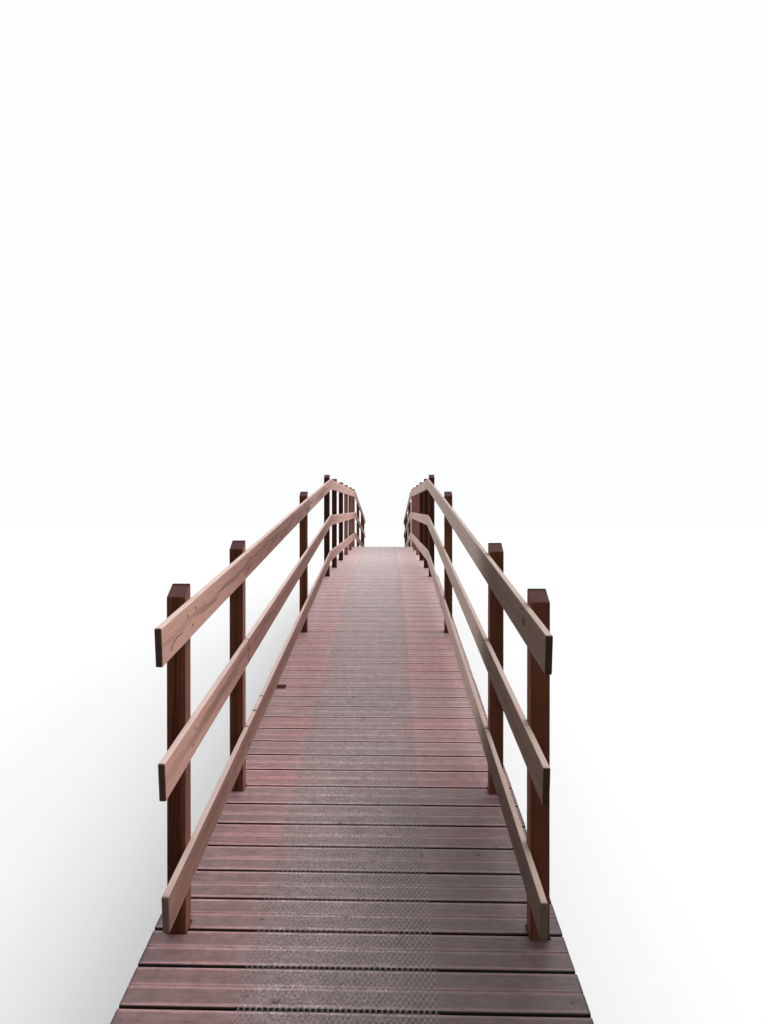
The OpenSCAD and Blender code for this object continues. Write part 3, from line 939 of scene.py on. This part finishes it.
def netting_cell():
    """Two rows of one column of the netting, with its lower left corner at the origin."""
    bm = bmesh.new()
    half = CELL_WIDTH / 2
    rows = (
        (0, 0, ((0, half), (CELL_WIDTH, half))),
        (half, ROW_PITCH, ((half, 0), (half, CELL_WIDTH))),
    )
    for x, y, slants in rows:
        top = y + TWIST_LENGTH
        wire_between(bm, (x, y, 0), (x, top, 0), TWIST)
        for from_x, to_x in slants:
            wire_between(bm, (from_x, top, 0), (to_x, y + ROW_PITCH, 0), WIRE)
    bmesh.ops.scale(bm, vec=(1, 1, FLATTENED), verts=bm.verts)
    return bm


cell_bm = netting_cell()
print("two rows of a column have", len(cell_bm.faces), "faces")
cell_bm.free()

# %% [markdown]
# Two Array modifiers lay the cells out, across the strip and along it, in lengths, because the real strip
# comes in lengths too. Slow waves keep the result from lying like a ruled grid: the wires wander sideways
# and lift a little off the boards.
# %% Lengths of netting
NETTING_LIFT = 0.0008
NETTING_WANDER = 0.002
NETTING_RIPPLE = 0.0006


def lay_netting(run, first, last, left, index):
    """A length of netting over the boards from first to last of a run, with its left edge at this X."""
    name = f"{run}_netting_{index}"
    piece = finish_piece(name, netting_cell(), NETTING, "wire_netting")
    columns = round((NETTING_RIGHT - NETTING_LEFT) / CELL_WIDTH)
    rows = int((last - first) / (2 * ROW_PITCH))
    for count, step in ((columns, (CELL_WIDTH, 0, 0)), (rows, (0, 2 * ROW_PITCH, 0))):
        array = piece.modifiers.new("lay", "ARRAY")
        array.use_relative_offset = False
        array.use_constant_offset = True
        array.count = count
        array.constant_offset_displace = step
    settle(piece)
    bm = bmesh.new()
    bm.from_mesh(piece.data)
    phase = chance.uniform(0, 10)
    for v in bm.verts:
        v.co += Vector((left, first, NETTING_LIFT))
        slow = NETTING_WANDER * math.sin(2.1 * v.co.y + phase)
        quick = NETTING_WANDER / 2 * math.sin(9.0 * v.co.y)
        v.co.x += slow + quick
        ripple = math.sin(23 * v.co.x + phase) * math.sin(17 * v.co.y + 2 * phase)
        v.co.z += NETTING_RIPPLE * (1 + ripple)
    bmesh.ops.transform(bm, matrix=RUN_FRAME[run], verts=bm.verts)
    bm.to_mesh(piece.data)
    bm.free()
    print(name, rows, "by", columns, "double rows,", len(piece.data.polygons), "faces")


def netting_lengths(run):
    """Where the two lengths of a run begin and end, so that a row of twists lies over every gap."""
    starts = sorted(BOARD_STARTS[run])
    half = len(starts) // 2
    inset = BOARD_WIDTH + (BOARD_GAP - TWIST_LENGTH) / 2 - (ROWS_PER_BOARD - 1) * ROW_PITCH
    ends = ((starts[0], starts[half - 1]), (starts[half], starts[-1]))
    return [(first + inset, last + BOARD_WIDTH) for first, last in ends]


for run in BOARD_STARTS:
    for index, (low, high) in enumerate(netting_lengths(run)):
        lay_netting(run, low, high, NETTING_LEFT + chance.uniform(-0.010, 0.008), index)

# %% [markdown]
# Staples hold the netting down along its edges and its middle. A staple is one thin bar whose ends are
# extruded down into the board, and the same shape is poured in on every other board. Small fixings that are
# repeated many times have few faces each, and all of a kind go into one piece.
# %% Staples
STAPLE_SIZE = (0.011, 0.0013, 0.0011)
STAPLE_BEND = 0.0042
STAPLE_LEG = 0.0042
STAPLE_OVER_DECK = 0.0032
STAPLE_LINES = (NETTING_LEFT + 0.012, (NETTING_LEFT + NETTING_RIGHT) / 2, NETTING_RIGHT - 0.014)


def staple():
    """A staple about the origin, along X, with its legs down."""
    bm = bmesh.new()
    bmesh.ops.create_cube(bm, size=1.0, matrix=Matrix.Diagonal((*STAPLE_SIZE, 1)))
    slice_along(bm, (-STAPLE_BEND, STAPLE_BEND))
    bm.normal_update()
    lower = [f for f in bm.faces if f.normal.z < -0.9]
    for foot in [f for f in lower if abs(f.calc_center_median().x) > STAPLE_BEND]:
        grown = bmesh.ops.extrude_face_region(bm, geom=[foot])
        ends = [v for v in grown["geom"] if isinstance(v, bmesh.types.BMVert)]
        bmesh.ops.translate(bm, vec=(0, 0, -STAPLE_LEG), verts=ends)
    return bm


def pour_copies(name, shape, places):
    """A piece of fixings: a copy of one small shape at every matrix."""
    bm = bmesh.new()
    mesh = bpy.data.meshes.new("copy")
    shape.to_mesh(mesh)
    shape.free()
    for place in places:
        before = len(bm.verts)
        bm.from_mesh(mesh)
        bm.verts.ensure_lookup_table()
        bmesh.ops.transform(bm, matrix=place, verts=bm.verts[before:])
    bpy.data.meshes.remove(mesh)
    piece = finish_piece(name, bm, FIXING, "fixings")
    print(name, len(places), "copies,", len(piece.data.polygons), "faces")


staple_places = []
for run, starts in BOARD_STARTS.items():
    for start in sorted(starts)[::2]:
        for x in STAPLE_LINES:
            staple_x = x + chance.uniform(-0.008, 0.008)
            spot = Matrix.Translation((staple_x, start + chance.uniform(0.02, 0.12), STAPLE_OVER_DECK))
            turn = Matrix.Rotation(chance.uniform(-0.7, 0.7), 4, "Z")
            staple_places.append(RUN_FRAME[run] @ spot @ turn)
pour_copies("netting_staples", staple(), staple_places)

# %% [markdown]
# A countersunk screw shows as a small dish. One head is made from a circle, raised a little, inset for the
# rim and sunk inside it. The same head is poured in twice wherever a board crosses a stringer. The places
# of the stringers come from the frame's own solids. The heads are sunk below the face of the deck.
# %% Screws of the deck
HEAD_HEIGHT = 0.0008
RIM_SHARE = 0.45
DISH_DEPTH = 0.0016
DECK_SCREW_RADIUS = 0.0042
DECK_SCREW_SUNK = 0.0018
SCREW_FROM_EDGE = 0.020


def screw_head(radius):
    """A screw head about the origin that faces +Z."""
    bm = bmesh.new()
    bmesh.ops.create_circle(bm, cap_ends=True, segments=10, radius=radius)
    grown = bmesh.ops.extrude_face_region(bm, geom=bm.faces[:])
    top = [v for v in grown["geom"] if isinstance(v, bmesh.types.BMVert)]
    bmesh.ops.translate(bm, vec=(0, 0, HEAD_HEIGHT), verts=top)
    face = max(bm.faces, key=lambda f: f.calc_center_median().z)
    bmesh.ops.inset_individual(bm, faces=[face], thickness=radius * RIM_SHARE)
    bmesh.ops.translate(bm, vec=(0, 0, -DISH_DEPTH), verts=face.verts)
    return bm


def box_of(part):
    """The lowest and the highest corner of a solid."""
    low = Vector([min(v.co[i] for v in part.verts) for i in range(3)])
    high = Vector([max(v.co[i] for v in part.verts) for i in range(3)])
    return low, high


STRINGER_LINES = []
for stringer in solids_of("level_stringers"):
    STRINGER_LINES.append(round(sum(corner.x for corner in box_of(stringer)) / 2, 4))
    stringer.free()
STRINGER_LINES.sort()
print("stringers at", STRINGER_LINES)
deck_screws = []
for run, starts in BOARD_STARTS.items():
    for start in starts:
        for x in STRINGER_LINES:
            for y in (SCREW_FROM_EDGE, BOARD_WIDTH - SCREW_FROM_EDGE):
                screw_x = x + chance.uniform(-0.006, 0.006)
                screw_y = start + y + chance.uniform(-0.004, 0.004)
                spot = Matrix.Translation((screw_x, screw_y, -DECK_SCREW_SUNK))
                deck_screws.append(RUN_FRAME[run] @ spot)
pour_copies("deck_screws", screw_head(DECK_SCREW_RADIUS), deck_screws)

# %% [markdown]
# Two larger screws, one above the other and a little aside, hold each rail to each post. Their heads stand
# just proud of the rail's inner face, so the head is turned to look at the middle of the bridge. The height
# of a rail over the deck is read from the level run, and it holds on the ramps too.
# %% Screws of the rails
RAIL_SCREW_RADIUS = 0.0046
RAIL_SCREW_PROUD = 0.0003
RAIL_SCREW_ASIDE = 0.016
RAIL_SCREW_OFF_MIDDLE = 0.024
TOP_RAIL_SCREWS_LOWER = 0.006
SCREW_LINES = {}
for level in ("top", "mid", "low"):
    rail_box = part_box(f"level_right_{level}_rail")
    SCREW_LINES[level] = sum(corner.z for corner in rail_box) / 2 - DECK_TOP
SCREW_LINES["top"] -= TOP_RAIL_SCREWS_LOWER
SCREW_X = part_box("level_right_top_rail")[0].x - RAIL_SCREW_PROUD
rail_screws = []
for y in STATIONS:
    for side in (-1, 1):
        turn = Matrix.Rotation(-side * math.pi / 2, 4, "Y")
        for over_deck in SCREW_LINES.values():
            for sign in (-1, 1):
                screw_y = y + sign * RAIL_SCREW_ASIDE + chance.uniform(-0.003, 0.003)
                screw_z = deck_height(y) + over_deck + sign * RAIL_SCREW_OFF_MIDDLE
                screw_z += chance.uniform(-0.004, 0.004)
                rail_screws.append(Matrix.Translation((side * SCREW_X, screw_y, screw_z)) @ turn)
pour_copies("rail_screws", screw_head(RAIL_SCREW_RADIUS), rail_screws)

# %% [markdown]
# The bearer planks are clamped to the posts with bolts right through. Each bolt shows a hexagon head on a
# round washer at one end and a nut at the other, which looks the same. The washer is a low cylinder, and
# the head a six-sided one with a bevelled rim.
# %% Bolts
WASHER_RADIUS = 0.018
WASHER_THICK = 0.003
BOLT_RADIUS = 0.011
BOLT_THICK = 0.008
BOLT_BEVEL = 0.0015
BOLT_SUNK = 0.0003


def disc(bm, segments, radius, thick, base):
    """A low cylinder that stands on this height. Returns its corners."""
    made = bmesh.ops.create_cone(bm, cap_ends=True, segments=segments, radius1=radius, radius2=radius,
                                 depth=thick, matrix=Matrix.Translation((0, 0, base + thick / 2)))
    return made["verts"]


def bolt_head():
    """A bolt's head on its washer, about the origin, that faces +Z."""
    bm = bmesh.new()
    disc(bm, 14, WASHER_RADIUS, WASHER_THICK, 0)
    head = disc(bm, 6, BOLT_RADIUS, BOLT_THICK, WASHER_THICK)
    edges = {e for v in head for e in v.link_edges}
    rim = [e for e in edges if min(v.co.z for v in e.verts) > WASHER_THICK + BOLT_THICK / 2]
    bmesh.ops.bevel(bm, geom=rim, offset=BOLT_BEVEL, offset_type="OFFSET", segments=1, profile=0.5,
                    affect="EDGES", material=-1)
    return bm


bolts = []
for node in [n for n in BEAM_NODES if n.endswith("_bearers")]:
    for plank in solids_of(node):
        low, high = box_of(plank)
        plank.free()
        middle_y = (low.y + high.y) / 2
        station = min(STATIONS, key=lambda s: abs(s - middle_y))
        outward = 1 if middle_y > station else -1
        face_y = high.y if outward > 0 else low.y
        turn = Matrix.Rotation(-outward * math.pi / 2, 4, "X")
        for side in (-1, 1):
            spot = Matrix.Translation((side * POST_X, face_y - outward * BOLT_SUNK, (low.z + high.z) / 2))
            bolts.append(spot @ turn)
pour_copies("bearer_bolts", bolt_head(), bolts)

# %% [markdown]
# The floor is plain and pale to the eye. It throws back less light than it shows, because the real bridge
# stands over dark surroundings. The soft light from all round is brightest overhead and towards the far end
# and the right, and low light from the far end shines in the grazing faces. One broad sun from the far
# right gives the timbers a lit side and a shaded side.
# %% Floor and light
FLOOR_SIZE = 60
FLOOR_AS_SEEN = (0.86, 0.86, 0.85)
FLOOR_AS_LIT = (0.14, 0.14, 0.13)
COOL_WHITE = (0.97, 0.985, 1.0, 1.0)


def pale_floor():
    """A plain floor that isn't part of the bridge."""
    bm = bmesh.new()
    bmesh.ops.create_grid(bm, x_segments=1, y_segments=1, size=FLOOR_SIZE)
    mesh = bpy.data.meshes.new("floor")
    bm.to_mesh(mesh)
    bm.free()
    f = Finish(bpy.data.materials.new("pale_floor"))
    seen = f.add("ShaderNodeLightPath", out="Is Camera Ray")
    mesh.materials.append(f.shade(f.mix(seen, FLOOR_AS_LIT, FLOOR_AS_SEEN), 0.9))
    floor = bpy.data.objects.new("floor", mesh)
    bpy.context.scene.collection.objects.link(floor)


def soft_light(low, high, to_far, to_right):
    """White to the camera. It lights with low at the horizon, high overhead, and more from far and right."""
    world = bpy.data.worlds.new("soft_light")
    f = Finish(world)
    x, y, z = f.split(f.add("ShaderNodeTexCoord", out="Generated"))
    lean = f.math("MULTIPLY_ADD", y, to_far, f.math("MULTIPLY_ADD", x, to_right, 1.0))
    level = f.times(f.step(z, 0.0, 0.8, low, high), lean)
    mirrored = f.step(y, -0.2, 0.7, 0.2, 1.0)
    paths = f.tree.nodes.new("ShaderNodeLightPath")
    strength = f.add("ShaderNodeMix", {0: paths.outputs["Is Glossy Ray"], 2: level, 3: mirrored})
    strength = f.add("ShaderNodeMix", {0: paths.outputs["Is Camera Ray"], 2: strength, 3: 1.0})
    shine = f.add("ShaderNodeBackground", {"Color": COOL_WHITE, "Strength": strength})
    output = f.tree.nodes.new("ShaderNodeOutputWorld")
    f.tree.links.new(shine, output.inputs["Surface"])
    bpy.context.scene.world = world


def broad_sun(energy, spread, elevation, azimuth):
    """A sun that shines from this elevation and from this azimuth, counted from +Y towards +X, in degrees."""
    light = bpy.data.lights.new("broad_sun", "SUN")
    light.energy = energy
    light.angle = math.radians(spread)
    lamp = bpy.data.objects.new("broad_sun", light)
    e, a = math.radians(elevation), math.radians(azimuth)
    towards = Vector((math.sin(a) * math.cos(e), math.cos(a) * math.cos(e), math.sin(e)))
    lamp.rotation_euler = towards.to_track_quat("Z", "Y").to_euler()
    bpy.context.scene.collection.objects.link(lamp)
    print("a sun of", energy, "from", azimuth, "degrees right of the far end")


pale_floor()
soft_light(low=0.40, high=0.85, to_far=0.60, to_right=0.35)
broad_sun(energy=1.9, spread=75, elevation=52, azimuth=48)
bpy.context.scene.view_settings.view_transform = "Standard"
